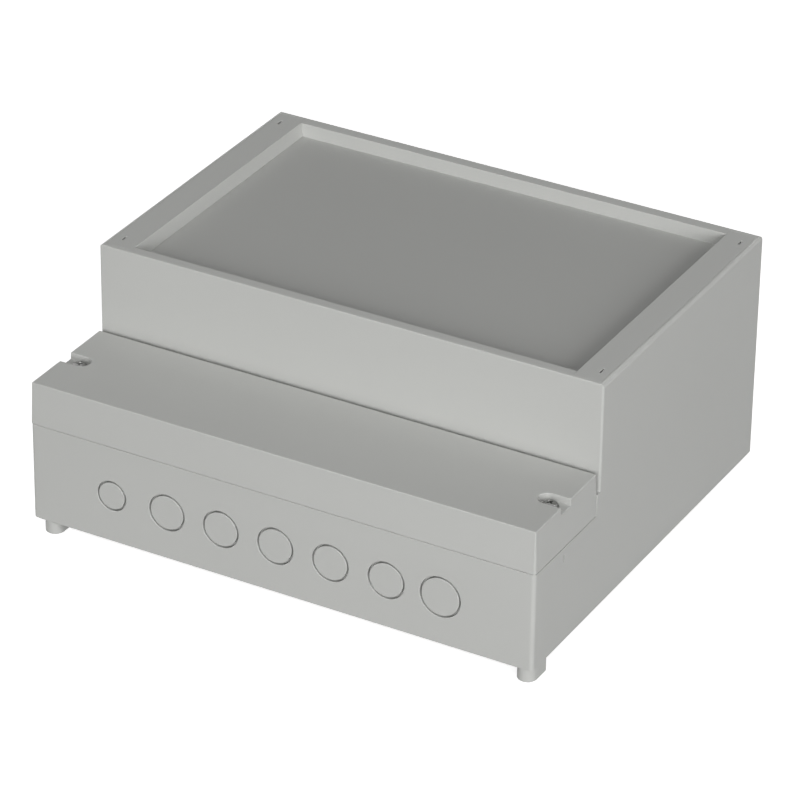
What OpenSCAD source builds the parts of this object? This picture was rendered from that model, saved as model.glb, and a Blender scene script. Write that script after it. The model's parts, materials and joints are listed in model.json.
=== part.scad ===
// Wall-mounted controller enclosure with a keypad recess and a separate terminal room.
// It lies on its wall side: X runs across the cable-entry wall, Y from that wall to the back
// wall and Z from the wall plane to the deck. The origin is the middle of the wall plane.

/* [Shell] */
// Width across the side walls
body_w = 257; // [240:1:280]
// Depth from the cable-entry wall to the back wall
body_d = 220; // [205:1:240]
// Height from the shell's rear edge to the deck
body_h = 113.3; // [105:0.1:125]
// Thickness of the outer walls
wall_t = 3; // [2.8:0.1:3.4]
// Radius of the front upright edges and of the deck's side edges
edge_r = 2; // [1.2:0.1:2.1]
// Radius of the upright edges of the tall part and of the cover
corner_r = 1.2; // [1.2:0.1:1.8]
// Radius of the deck's front and back edges
brow_r = 0.6; // [0.3:0.1:0.8]
// Width of the step that takes the rear plate
rebate_w = 1.5; // [1.2:0.1:1.6]

/* [Terminal room] */
// Depth from the cable-entry wall to the upper wall
terminal_d = 59.7; // [56:0.1:66]
// Height of the joint under the terminal cover, above the shell's rear edge
seam_h = 49; // [46:0.5:54]
// Distance from that joint down to the sealing shelf
shelf_drop = 5; // [4:0.5:7]
// Thickness of the sealing shelf
shelf_t = 3; // [2.5:0.5:4]
// Width of the shelf at the two ends, where the screws are
shelf_end_w = 15; // [14.5:0.5:18]
// Width of the shelf along the front and the back
shelf_side_w = 3; // [3:0.1:4]
// Width of the ledge in front of the upper wall that the cover stands on
ledge_w = 5.7; // [5.5:0.1:8]
// Height of the sill behind the cover, above the joint
sill_h = 10.5; // [6:0.5:14]
// Gap between the cover's back wall and the sill
sill_gap = 0.3; // [0.2:0.05:0.5]
// Number of cable windows between the two rooms
window_count = 3; // [1:1:4]
// Width of one cable window
window_w = 44; // [20:1:48]
// Height of one cable window
window_h = 18; // [8:1:22]
// Distance from one cable window to the next, middle to middle
window_pitch = 62; // [52:1:64]
// Height of the windows' lower edge above the rear plate
window_up = 10; // [6:1:12]

/* [Terminal cover] */
// Height of the cover
cover_h = 21; // [19:0.1:26]
// Distance that the cover's front and ends lean in from the joint to the top
cover_draft = 0.7; // [0.3:0.1:0.7]
// Width of the bevel round the cover's top
cover_bevel = 0.3; // [0.2:0.1:0.4]
// Thickness of the cover's walls and top
cover_t = 2.4; // [2:0.1:3]
// Width of the channel between the cover and the upper wall
cover_gap = 2.8; // [2.5:0.1:4]
// Height of the groove round the joint
seam_groove_h = 0.5; // [0.4:0.1:1]
// Depth of the groove round the joint
seam_groove_d = 0.4; // [0.3:0.1:0.8]
// Thickness of the sealing wall under the cover
lip_t = 1.6; // [1.2:0.1:2]
// Distance of the sealing wall from the edge of the opening
lip_set = 0.6; // [0.5:0.1:0.7]
// Width of the screw notches in the cover's ends
notch_w = 9; // [8.4:0.1:9.2]
// Distance from a screw's middle to the round end of its notch
notch_end = 5.6; // [5.2:0.1:6]
// Depth of the screw notches
notch_depth = 3.3; // [2.8:0.1:3.6]
// Depth of the screw head's seat below the top
seat_depth = 4.2; // [4:0.1:5]

/* [Cover screws] */
// Distance of the screws from the cover's ends
screw_inset = 8.4; // [8:0.1:9]
// Distance of the screws from the cable-entry wall
screw_back = 28.4; // [26:0.2:31]
// Diameter of the screw head
head_d = 7; // [6.6:0.1:7.2]
// Height of the screw head
head_h = 2.8; // [2.4:0.1:3]
// Diameter of the thread
thread_d = 3.9; // [3:0.1:4]
// Length of the thread
thread_len = 15; // [12:1:18]
// Diameter of the thinner neck above the thread
neck_d = 3.2; // [2.6:0.1:3.3]
// Length of the screw under its head
screw_len = 27; // [25:1:30]
// Width of the cross recess in the screw heads
cross_w = 1; // [0.8:0.1:1.2]
// Span of the cross recess in the screw heads
cross_span = 4.4; // [3.6:0.1:4.8]
// Depth of the cross recess in the screw heads
cross_depth = 1.6; // [1:0.1:1.8]
// Outer diameter of the threaded inserts
insert_d = 5.6; // [5.2:0.1:6]
// Length of the threaded inserts
insert_len = 8; // [6:0.5:9]
// Diameter of the bosses that hold inserts and screws
boss_d = 10; // [9:0.2:10.4]
// Outer diameter of the retaining washers on the cover screws
retainer_d = 6.8; // [6:0.1:7]
// Thickness of the retaining washers
retainer_t = 1.2; // [0.8:0.1:1.6]
// Depth of the room for the washer in the cover's boss
retainer_room = 10.5; // [9:0.5:12]

/* [Keypad recess] */
// Depth of the recess below the deck
recess_depth = 6.9; // [5.5:0.1:7.5]
// Thickness of the recess floor
floor_t = 2.5; // [2.2:0.1:3]
// Width of the rim in front of the recess
front_rim_w = 5.3; // [4.6:0.1:8]
// Width of the rim behind the recess
back_rim_w = 6.2; // [4.6:0.1:8]
// Distance that the recess's side walls lean in from the deck to the floor
wall_draft = 1; // [0.5:0.1:1.4]

/* [Side strips] */
// Width of the bands beside the recess
band_w = 15.8; // [14.6:0.1:17]
// Thickness of the strips' top plate
strip_t = 2.2; // [1.8:0.1:2.6]
// Thickness of the strips' inner leg, which is the side wall of the recess
strip_leg_t = 2; // [1.6:0.1:2.4]
// Depth of the strips' channels below the recess floor
channel_sink = 0.5; // [0.3:0.1:0.7]
// Thickness of the shell's edge round the strips
edge_t = 2.2; // [2.15:0.05:2.6]
// Length of the pry slits
slit_l = 4; // [3:0.5:6]
// Width of the pry slits
slit_w = 0.9; // [0.7:0.1:1.2]
// Distance of the pry slits from the side wall
slit_inset = 6.7; // [5:0.1:7.5]
// Distance of the pry slits from the deck's ends
slit_end = 10.8; // [9:0.1:12]
// Diameter of the strips' pegs
peg_d = 3.8; // [3.2:0.1:4]
// Length of the pegs below the recess floor
peg_len = 5; // [3.5:0.5:6]
// Distance of the outer pegs from the middle peg
peg_pitch = 40; // [34:1:42]

/* [Housing screws] */
// Distance of the housing screws from the deck's ends
column_end = 28; // [26:1:32]
// Diameter of the rear plate's screw columns
column_d = 10; // [9:0.2:10.4]
// Depth of the bosses under the recess floor
deck_boss_h = 6.5; // [5.5:0.5:8]
// Diameter of the housing screws' heads
pan_d = 7.6; // [7:0.1:7.8]
// Height of the housing screws' heads
pan_h = 2.6; // [2.2:0.1:2.8]
// Depth of the heads' seat below the channels
pan_sink = 0.4; // [0.2:0.1:0.6]
// Length of the housing screws under the head
pan_len = 16; // [14:1:18]

/* [Knock-outs] */
// Height of the knock-outs' row above the shell's rear edge
knockout_up = 23.6; // [21:0.2:26]
// Distance between the five middle knock-outs
knockout_pitch = 28.1; // [25:0.1:29]
// Place of the middle knock-out across the wall
knockout_mid = -0.65; // [-2:0.05:2]
// Distance from the middle row to the small knock-out
small_gap = 29.1; // [24:0.1:30]
// Distance from the middle row to the large knock-out
large_gap = 27; // [25:0.1:29]
// Diameter of the small knock-out
small_d = 15.2; // [12:0.1:16]
// Diameter of the five middle knock-outs
middle_d = 18.6; // [16:0.1:20]
// Diameter of the large knock-out
large_d = 20.4; // [18:0.1:22.5]
// Width of the groove round a knock-out
score_w = 0.9; // [0.5:0.1:1.1]
// Thickness of the wall left under the groove
score_web = 0.8; // [0.5:0.1:1]

/* [Feet and wall fixing] */
// Height of the feet
foot_h = 6.5; // [5:0.1:7]
// Width of the feet
foot_w = 9.2; // [8.6:0.1:10]
// Length of the feet
foot_l = 13.2; // [12.5:0.1:15]
// Distance of the left foot from its side wall
foot_inset_left = 4.2; // [1:0.1:5]
// Distance of the right foot from its side wall
foot_inset_right = 0; // [0:0.1:4]
// Diameter of the wall screw holes
hole_d = 4.5; // [4:0.1:5]
// Offset of the wall screw holes from the feet's middle, towards the middle of the part
hole_in = 0.7; // [0.4:0.1:1]
// Distance of the wall screw holes from the cable-entry wall
hole_back = 6.9; // [6.8:0.1:7.2]
// Diameter of the screwdriver wells above the holes
well_d = 7.2; // [6.8:0.1:7.4]
// Thickness of the wall round the wells
well_wall = 2; // [1.6:0.1:2.4]
// Height of the seat for the wall screw's head above the wall
well_seat = 14; // [12:0.5:16]
// Distance of the small blind slots from the cable-entry wall
mark_back = 27; // [25:0.1:31]
// Width of the small blind slots
mark_w = 1; // [0.6:0.1:1.4]
// Height of the small blind slots
mark_h = 3.1; // [2.4:0.1:3.6]
// Depth of the small blind slots
mark_depth = 1.2; // [0.8:0.1:1.5]
// Distance of the small blind slots below the joint
mark_drop = 4.2; // [4:0.1:6]

/* [Rear plate] */
// Thickness of the rear plate
plate_t = 3; // [2.5:0.1:3.5]
// Width of the keyhole pad
pad_w = 26; // [22:1:32]
// Length of the keyhole pad
pad_l = 38; // [34:1:44]
// Distance of the pad's middle from the back wall
pad_back = 30; // [26:1:40]
// Diameter of the keyhole's entry
key_d = 9.5; // [9:0.1:11]
// Width of the keyhole's slot
key_slot_w = 5; // [4.6:0.1:6]
// Length of the keyhole's slot
key_slot_l = 12; // [10:0.5:14]
// Thickness of the web that the wall screw's head hangs on
key_web = 3; // [2.5:0.1:3.5]
// Height of the hollow for the wall screw's head
key_room_h = 6; // [5:0.5:8]
// Diameter of the circuit board posts
post_d = 7; // [6:0.2:8]
// Height of the circuit board posts
post_h = 8; // [5:0.5:10]
// Diameter of the pilot holes in the posts
post_hole_d = 2.8; // [2.4:0.1:3.2]
// Distance between the posts across the part
post_span_x = 180; // [150:1:200]
// Distance between the posts along the part
post_span_y = 100; // [80:1:110]

/* [Seals and fits] */
// Width of the cover seal
seal_w = 2.4; // [2:0.1:2.6]
// Height of the cover seal
seal_h = 2; // [1.5:0.1:2.5]
// Width of the rear seal
rear_seal_w = 1.2; // [0.9:0.1:1.2]
// Height of the rear seal
rear_seal_h = 2; // [1.5:0.1:2.5]
// Gap between flat pieces that drop into each other
fit_gap = 0.1; // [0.05:0.01:0.2]
// Radial gap round pegs, washers and screw heads
round_gap = 0.3; // [0.25:0.01:0.35]
// Radial gap between screws and the holes that they pass through
screw_gap = 0.35; // [0.3:0.01:0.45]
// Radial gap between screws and their inserts
thread_gap = 0.1; // [0.05:0.01:0.15]
// Gap round the rear plate
plate_gap = 0.3; // [0.2:0.05:0.4]

/* [Hidden] */
$fn = 64;
eps = 0.01;
shell_grey = [0.72, 0.73, 0.72];
strip_grey = [0.70, 0.71, 0.70];
steel = [0.78, 0.79, 0.80];
brass = [0.76, 0.62, 0.32];
rubber = [0.16, 0.16, 0.17];
nylon = [0.92, 0.92, 0.90];

// Heights above the wall plane
rear_z = foot_h;
seam_z = rear_z + seam_h;
deck_z = rear_z + body_h;
cover_z = seam_z + cover_h;
shelf_z = seam_z - shelf_drop;
recess_z = deck_z - recess_depth;
channel_z = recess_z - channel_sink;
ceiling_z = recess_z - floor_t;
plate_z = rear_z + plate_t;
shoulder_z = plate_z + rear_seal_h;
lip_z = shelf_z + seal_h;
seat_z = cover_z - seat_depth;
notch_z = cover_z - notch_depth;
pan_z = channel_z - pan_sink;
column_z = ceiling_z - deck_boss_h;

// Places along the depth
front_y = -body_d / 2;
back_y = body_d / 2;
upper_y = front_y + terminal_d;
cover_d = terminal_d - cover_gap;
cover_back_y = front_y + cover_d;
inner_front_y = front_y + wall_t;
inner_back_y = back_y - wall_t;
ledge_y = upper_y - ledge_w;
open_front_y = inner_front_y + shelf_side_w;
open_back_y = ledge_y - shelf_side_w;
open_mid_y = (open_front_y + open_back_y) / 2;
screw_y = front_y + screw_back;
mark_y = front_y + mark_back;
recess_front_y = upper_y + front_rim_w;
recess_back_y = back_y - back_rim_w;
strip_front_y = upper_y + edge_t;
strip_back_y = back_y - edge_t;
strip_mid_y = (strip_front_y + strip_back_y) / 2;
column_ys = [upper_y + column_end, back_y - column_end];
slit_ys = [upper_y + slit_end, back_y - slit_end];
hole_y = front_y + hole_back;
tower_y = front_y + foot_l;
pad_y = back_y - pad_back;

// Places across the width
side_x = body_w / 2;
inner_x = side_x - wall_t;
open_x = inner_x - shelf_end_w;
screw_x = side_x - screw_inset;
brim_x = side_x - band_w;
recess_x = brim_x - wall_draft;
strip_out_x = side_x - edge_t;
strip_mid_x = (brim_x + strip_out_x) / 2;
column_x = inner_x - column_d / 2 - plate_gap;
left_foot_x = -side_x + foot_inset_left + foot_w / 2;
right_foot_x = side_x - foot_inset_right - foot_w / 2;
wall_hole_xs = [left_foot_x + hole_in, right_foot_x - hole_in];
tower_reach = well_d / 2 + well_wall;
left_tower_x = wall_hole_xs[0] + tower_reach;
right_tower_x = wall_hole_xs[1] - tower_reach;

// Sizes of the openings that are sealed
open_w = 2 * open_x;
open_d = open_back_y - open_front_y;
rebate_in = wall_t - rebate_w;
plate_w = body_w - 2 * rebate_in - 2 * plate_gap;
plate_d = body_d - 2 * rebate_in - 2 * plate_gap;

// Distance that the cover's walls have leant in at a height above the joint
function lean(h) = cover_draft * h / cover_h;

// Knock-outs in their row, each as its place across the wall and its diameter
middle_count = 5;
middle_half = knockout_pitch * (middle_count - 1) / 2;
knockouts = concat(
  [[knockout_mid - middle_half - small_gap, small_d]],
  [for (i = [0 : middle_count - 1]) [knockout_mid - middle_half + i * knockout_pitch, middle_d]],
  [[knockout_mid + middle_half + large_gap, large_d]]
);

// Flat shapes

// Rectangle about the origin with round corners
module round_rect(w, d, r) {
  square([w - 2 * r, d], center = true);
  square([w, d - 2 * r], center = true);
  for (sx = [-1, 1], sy = [-1, 1])
    translate([sx * (w / 2 - r), sy * (d / 2 - r)])
      circle(r = r);
}

// Rectangle standing on the X axis with its two upper corners round
module round_top(w, h, r) {
  translate([-w / 2, 0])
    square([w, h - r]);
  translate([r - w / 2, 0])
    square([w - 2 * r, h]);
  for (sx = [-1, 1])
    translate([sx * (w / 2 - r), h - r])
      circle(r = r);
}

// Outline of a foot: a half-round nose towards the cable-entry wall and a square tail
module foot_outline() {
  nose_r = foot_w / 2;
  translate([0, nose_r])
    circle(r = nose_r);
  translate([-nose_r, nose_r])
    square([foot_w, foot_l - nose_r]);
}

// The two front corners that the wells' towers fill, grown inwards
module tower_corners(grow) {
  depth = tower_y - front_y + grow;
  translate([-side_x, front_y])
    square([left_tower_x + side_x + grow, depth]);
  translate([right_tower_x - grow, front_y])
    square([side_x - right_tower_x + grow, depth]);
}

// Outline of the rear plate, drawn in by an inset
module plate_outline(inset) {
  difference() {
    round_rect(plate_w - 2 * inset, plate_d - 2 * inset, edge_r);
    tower_corners(plate_gap + inset);
  }
}

// Outline of the notch at the right-hand end of the cover, with the screw at the origin
module notch_outline() {
  start_x = notch_w / 2 - notch_end;
  translate([start_x, 0])
    circle(d = notch_w);
  translate([start_x, -notch_w / 2])
    square([screw_inset - start_x + 1, notch_w]);
}

// Section of one leaning wall of the cover with all that lies behind it, from a depth below the joint
module leaning_half(w, h, down) {
  polygon([
    [0, -down],
    [w + lean(down), -down],
    [w - lean(h - cover_bevel), h - cover_bevel],
    [w - lean(h) - cover_bevel, h],
    [0, h]
  ]);
}

// Solid shapes

// Upright block with round corners, from z0 to z1
module block(w, d, z0, z1, r) {
  translate([0, 0, z0])
    linear_extrude(z1 - z0)
      round_rect(w, d, r);
}

// The tall part's block, with its upright edges, the deck's side edges and its front and back edges round
module soft_block(w, d, z0, z1) {
  h = z1 - z0;
  intersection() {
    block(w, d, z0, z1, corner_r);
    translate([0, d / 2 + 1, z0])
      rotate([90, 0, 0])
        linear_extrude(d + 2)
          round_top(w, h, edge_r);
    translate([-w / 2 - 1, 0, z0])
      rotate([90, 0, 90])
        linear_extrude(w + 2)
          round_top(d, h, brow_r);
  }
}

// Square-cornered box from its two corners
module box(x0, x1, y0, y1, z0, z1) {
  translate([x0, y0, z0])
    cube([x1 - x0, y1 - y0, z1 - z0]);
}

// Upright loop of a rectangular section round the sealed opening
module loop(set, t, z0, z1) {
  translate([0, open_mid_y, z0])
    linear_extrude(z1 - z0)
      difference() {
        square([open_w + 2 * (set + t), open_d + 2 * (set + t)], center = true);
        square([open_w + 2 * set, open_d + 2 * set], center = true);
      }
}

// Shallow groove round the joint under the cover
module seam_groove() {
  translate([0, 0, seam_z - seam_groove_h / 2])
    linear_extrude(seam_groove_h)
      difference() {
        translate([-side_x - 1, front_y - 1])
          square([body_w + 2, cover_d + 1]);
        translate([-side_x + seam_groove_d, front_y + seam_groove_d])
          square([body_w - 2 * seam_groove_d, body_d]);
      }
}

// Copies for the left and the right side
module both_sides() {
  children();
  mirror([1, 0, 0])
    children();
}

// Screw along Z with its head's underside at the origin and a cross recess
module screw(head, head_height, neck, neck_len, thread, total_len) {
  tip = thread / 4;
  difference() {
    cylinder(d = head, h = head_height);
    for (a = [0, 90])
      rotate(a)
        translate([-cross_span / 2, -cross_w / 2, head_height - cross_depth])
          cube([cross_span, cross_w, cross_depth + 1]);
  }
  translate([0, 0, -neck_len])
    cylinder(d = neck, h = neck_len + eps);
  translate([0, 0, tip - total_len])
    cylinder(d = thread, h = total_len - neck_len - tip);
  translate([0, 0, -total_len])
    cylinder(d1 = thread - 2 * tip, d2 = thread, h = tip);
}

// Threaded insert with its top at the origin
module insert() {
  translate([0, 0, -insert_len])
    difference() {
      cylinder(d = insert_d, h = insert_len);
      translate([0, 0, -1])
        cylinder(d = thread_d + 2 * thread_gap, h = insert_len + 2);
    }
}

// Shell

module shell_outside() {
  block(body_w, body_d, rear_z, seam_z, edge_r);
  translate([0, (upper_y + back_y) / 2, 0])
    soft_block(body_w, back_y - upper_y, rear_z, deck_z);
  // Sill behind the cover
  box(-side_x, side_x, cover_back_y + sill_gap, upper_y + corner_r, seam_z - eps, seam_z + sill_h);
}

module shell_rooms() {
  // Electronics room under the recess
  box(-inner_x, inner_x, upper_y + wall_t, inner_back_y, rear_z - 1, ceiling_z);
  // Terminal room under the shelf
  box(-inner_x, inner_x, inner_front_y, upper_y, rear_z - 1, shelf_z - shelf_t);
  // Opening through the shelf
  box(-open_x, open_x, open_front_y, open_back_y, shelf_z - shelf_t - 1, shelf_z + 1);
  // Well above the shelf
  box(-inner_x, inner_x, inner_front_y, ledge_y, shelf_z, seam_z + 1);
  // Step for the rear plate and its seal
  block(body_w - 2 * rebate_in, body_d - 2 * rebate_in, rear_z - 1, shoulder_z, edge_r);
}

module deck_tray() {
  box(-recess_x - eps, recess_x + eps, recess_front_y, recess_back_y, recess_z, deck_z + 1);
  both_sides() {
    box(brim_x, strip_out_x, strip_front_y, strip_back_y, channel_z, deck_z + 1);
    box(recess_x, brim_x + eps, recess_front_y, recess_back_y, channel_z, deck_z + 1);
  }
}

module cable_windows() {
  first_x = -window_pitch * (window_count - 1) / 2;
  for (i = [0 : window_count - 1])
    translate([first_x + i * window_pitch - window_w / 2, upper_y - 1, plate_z + window_up])
      cube([window_w, wall_t + 2, window_h]);
}

module knockout_grooves() {
  for (k = knockouts)
    translate([k[0], front_y - 1, rear_z + knockout_up])
      rotate([-90, 0, 0])
        difference() {
          cylinder(d = k[1], h = wall_t - score_web + 1);
          translate([0, 0, -1])
            cylinder(d = k[1] - 2 * score_w, h = wall_t + 3);
        }
}

module feet() {
  for (x = [left_foot_x, right_foot_x])
    translate([x, front_y, 0])
      linear_extrude(well_seat)
        foot_outline();
}

// Solid corners round the screwdriver wells, stepped where the rear seal lies
module towers() {
  intersection() {
    union() {
      translate([0, 0, rear_z])
        linear_extrude(shoulder_z - rear_z)
          tower_corners(0);
      translate([0, 0, shoulder_z])
        linear_extrude(shelf_z - shoulder_z)
          tower_corners(rebate_w);
    }
    block(body_w, body_d, rear_z, seam_z, edge_r);
  }
}

module cover_bosses() {
  both_sides() {
    translate([screw_x, screw_y, shelf_z - insert_len])
      cylinder(d = boss_d, h = seam_z - shelf_z + insert_len);
    box(screw_x, inner_x + eps, screw_y - boss_d / 4, screw_y + boss_d / 4, shelf_z - insert_len, seam_z);
  }
}

module deck_bosses() {
  both_sides() {
    for (y = column_ys) {
      translate([column_x, y, column_z])
        cylinder(d = column_d, h = deck_boss_h + eps);
      box(column_x, inner_x + eps, y - column_d / 4, y + column_d / 4, column_z, ceiling_z + eps);
    }
    for (i = [-1 : 1])
      translate([strip_mid_x, strip_mid_y + i * peg_pitch, recess_z - peg_len - floor_t])
        cylinder(d = peg_d + 2 * floor_t, h = peg_len + eps);
  }
}

module shell_holes() {
  for (x = wall_hole_xs)
    translate([x, hole_y, 0]) {
      translate([0, 0, -1])
        cylinder(d = hole_d, h = shelf_z);
      translate([0, 0, well_seat])
        cylinder(d = well_d, h = seam_z);
    }
  both_sides() {
    translate([screw_x, screw_y, seam_z - insert_len])
      cylinder(d = insert_d, h = insert_len + 1);
    translate([screw_x, screw_y, cover_z - seat_depth - screw_len - 1])
      cylinder(d = thread_d + 2 * screw_gap, h = cover_h + screw_len);
    for (y = column_ys)
      translate([column_x, y, 0]) {
        translate([0, 0, column_z - 1])
          cylinder(d = thread_d + 2 * screw_gap, h = recess_z);
        translate([0, 0, pan_z])
          cylinder(d = pan_d + 2 * round_gap, h = recess_depth);
      }
    for (i = [-1 : 1])
      translate([strip_mid_x, strip_mid_y + i * peg_pitch, recess_z - peg_len - round_gap])
        cylinder(d = peg_d + 2 * round_gap, h = recess_depth + peg_len);
    translate([side_x - mark_depth, mark_y - mark_w / 2, seam_z - mark_drop - mark_h])
      cube([mark_depth + 1, mark_w, mark_h]);
  }
}

module housing() {
  color(shell_grey)
    difference() {
      union() {
        difference() {
          shell_outside();
          shell_rooms();
        }
        towers();
        feet();
        cover_bosses();
        deck_bosses();
      }
      deck_tray();
      cable_windows();
      knockout_grooves();
      seam_groove();
      shell_holes();
    }
}

// Rear plate

module keyhole() {
  head_room = key_d + 2;
  translate([0, -key_slot_l / 2, -1])
    cylinder(d = key_d, h = key_web + 2);
  translate([-key_slot_w / 2, -key_slot_l / 2, -1])
    cube([key_slot_w, key_slot_l, key_web + 2]);
  translate([0, key_slot_l / 2, -1])
    cylinder(d = key_slot_w, h = key_web + 2);
  translate([-head_room / 2, -key_slot_l / 2 - head_room / 2, key_web])
    cube([head_room, key_slot_l + head_room, key_room_h]);
}

module rear_plate() {
  color(shell_grey)
    difference() {
      union() {
        translate([0, 0, rear_z])
          linear_extrude(plate_t)
            plate_outline(0);
        translate([0, pad_y, 0])
          block(pad_w, pad_l, 0, key_web + key_room_h + plate_t, pad_w / 4);
        both_sides()
          for (y = column_ys)
            translate([column_x, y, rear_z])
              cylinder(d = column_d, h = column_z - rear_z);
        for (sx = [-1, 1], sy = [-1, 1])
          translate([sx * post_span_x / 2, strip_mid_y + sy * post_span_y / 2, rear_z])
            cylinder(d = post_d, h = plate_t + post_h);
      }
      translate([0, pad_y, 0])
        keyhole();
      both_sides()
        for (y = column_ys) {
          translate([column_x, y, column_z - insert_len])
            cylinder(d = insert_d, h = insert_len + 1);
          translate([column_x, y, pan_z - pan_len - 1])
            cylinder(d = thread_d + 2 * screw_gap, h = pan_len);
        }
      for (sx = [-1, 1], sy = [-1, 1])
        translate([sx * post_span_x / 2, strip_mid_y + sy * post_span_y / 2, plate_z])
          cylinder(d = post_hole_d, h = post_h + 1);
    }
}

// Terminal cover

// Leaning outside of the cover: its ends, its front and the round corners between them
module cover_outside() {
  corner_x = side_x - corner_r;
  corner_y = front_y + corner_r;
  translate([0, 0, seam_z]) {
    translate([0, cover_back_y, 0])
      rotate([90, 0, 0])
        linear_extrude(cover_back_y - corner_y) {
          leaning_half(side_x, cover_h, 0);
          mirror([1, 0])
            leaning_half(side_x, cover_h, 0);
        }
    translate([-corner_x, cover_back_y, 0])
      rotate([90, 0, 90])
        linear_extrude(2 * corner_x)
          mirror([1, 0])
            leaning_half(cover_d, cover_h, 0);
    for (sx = [-1, 1])
      translate([sx * corner_x, corner_y, 0])
        rotate_extrude()
          leaning_half(corner_r, cover_h, 0);
  }
}

// Room inside the cover, with walls that lean like the outside
module cover_room() {
  room_h = cover_h - cover_t;
  room_back_y = cover_back_y - cover_t;
  translate([0, 0, seam_z])
    intersection() {
      translate([0, room_back_y, 0])
        rotate([90, 0, 0])
          linear_extrude(cover_d)
            union() {
              leaning_half(side_x - cover_t, room_h, 1);
              mirror([1, 0])
                leaning_half(side_x - cover_t, room_h, 1);
            }
      translate([-side_x, room_back_y, 0])
        rotate([90, 0, 90])
          linear_extrude(body_w)
            mirror([1, 0])
              leaning_half(cover_d - 2 * cover_t, room_h, 1);
    }
}

module notch_block() {
  reach = notch_w / 2 + cover_t;
  box(screw_x - notch_end - cover_t, side_x - cover_draft - cover_t / 2, screw_y - reach, screw_y + reach,
    seat_z - cover_t, cover_z - cover_t / 2);
}

module terminal_cover() {
  color(shell_grey)
    difference() {
      union() {
        difference() {
          cover_outside();
          cover_room();
        }
        loop(lip_set, lip_t, lip_z, cover_z - cover_t + eps);
        both_sides() {
          notch_block();
          translate([screw_x, screw_y, seam_z])
            cylinder(d = boss_d, h = seat_z - seam_z);
        }
      }
      seam_groove();
      both_sides()
        translate([screw_x, screw_y, 0]) {
          translate([0, 0, notch_z])
            linear_extrude(cover_h)
              notch_outline();
          translate([0, 0, seat_z])
            cylinder(d = head_d + 2 * round_gap, h = cover_h);
          translate([0, 0, seam_z - 1])
            cylinder(d = neck_d + 2 * screw_gap, h = cover_h);
          translate([0, 0, seam_z - 1])
            cylinder(d = retainer_d + 2 * round_gap, h = retainer_room + 1);
        }
    }
}

// Side strips

// Section of a strip's inner leg, which leans in towards the recess floor
module leaning_leg() {
  middle_x = brim_x + strip_leg_t / 2;
  polygon([
    [recess_x, channel_z],
    [recess_x, recess_z],
    [brim_x, deck_z],
    [middle_x, deck_z],
    [middle_x, channel_z]
  ]);
}

module strip() {
  color(strip_grey)
    difference() {
      union() {
        box(brim_x, strip_out_x - fit_gap, strip_front_y + fit_gap, strip_back_y - fit_gap,
          deck_z - strip_t, deck_z);
        box(brim_x, brim_x + strip_leg_t, strip_front_y + fit_gap, strip_back_y - fit_gap,
          channel_z, deck_z);
        translate([0, recess_back_y - fit_gap, 0])
          rotate([90, 0, 0])
            linear_extrude(recess_back_y - recess_front_y - 2 * fit_gap)
              leaning_leg();
        for (i = [-1 : 1])
          translate([strip_mid_x, strip_mid_y + i * peg_pitch, recess_z - peg_len])
            cylinder(d = peg_d, h = recess_depth - strip_t + peg_len + eps);
      }
      for (y = slit_ys)
        translate([side_x - slit_inset - slit_w / 2, y - slit_l / 2, deck_z - strip_t - 1])
          cube([slit_w, slit_l, strip_t + 2]);
    }
}

module left_strip() {
  mirror([1, 0, 0])
    strip();
}

module right_strip() {
  strip();
}

// Screws, inserts and seals

module cover_screw(sx) {
  color(steel)
    translate([sx * screw_x, screw_y, seat_z])
      screw(head_d, head_h, neck_d, screw_len - thread_len, thread_d, screw_len);
}

module left_cover_screw() {
  cover_screw(-1);
}

module right_cover_screw() {
  cover_screw(1);
}

module retainer(sx) {
  color(nylon)
    translate([sx * screw_x, screw_y, seam_z + retainer_room - retainer_t])
      difference() {
        cylinder(d = retainer_d, h = retainer_t);
        translate([0, 0, -1])
          cylinder(d = neck_d, h = retainer_t + 2);
      }
}

module left_screw_retainer() {
  retainer(-1);
}

module right_screw_retainer() {
  retainer(1);
}

module cover_inserts() {
  color(brass)
    for (sx = [-1, 1])
      translate([sx * screw_x, screw_y, seam_z])
        insert();
}

module housing_screws() {
  color(steel)
    for (sx = [-1, 1], y = column_ys)
      translate([sx * column_x, y, pan_z])
        screw(pan_d, pan_h, thread_d, thread_d, thread_d, pan_len);
}

module housing_inserts() {
  color(brass)
    for (sx = [-1, 1], y = column_ys)
      translate([sx * column_x, y, column_z])
        insert();
}

module cover_seal() {
  color(rubber)
    loop(lip_set + lip_t / 2 - seal_w / 2, seal_w, shelf_z, lip_z);
}

module rear_seal() {
  color(rubber)
    translate([0, 0, plate_z])
      linear_extrude(rear_seal_h)
        difference() {
          plate_outline(0);
          plate_outline(rear_seal_w);
        }
}

housing();
rear_plate();
terminal_cover();
left_strip();
right_strip();
left_cover_screw();
right_cover_screw();
left_screw_retainer();
right_screw_retainer();
cover_inserts();
housing_screws();
housing_inserts();
cover_seal();
rear_seal();
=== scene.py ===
"""Looks of a wall-mounted controller enclosure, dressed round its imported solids.

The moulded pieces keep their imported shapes, with their outward edges eased, and get a grained plastic. The
screws, inserts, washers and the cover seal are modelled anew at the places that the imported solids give.
"""

import json
import logging
import math
from collections.abc import Callable, Sequence
from dataclasses import dataclass, field
from enum import Enum

import bmesh
import bpy
from mathutils import Matrix, Vector
from mathutils.bvhtree import BVHTree


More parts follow.
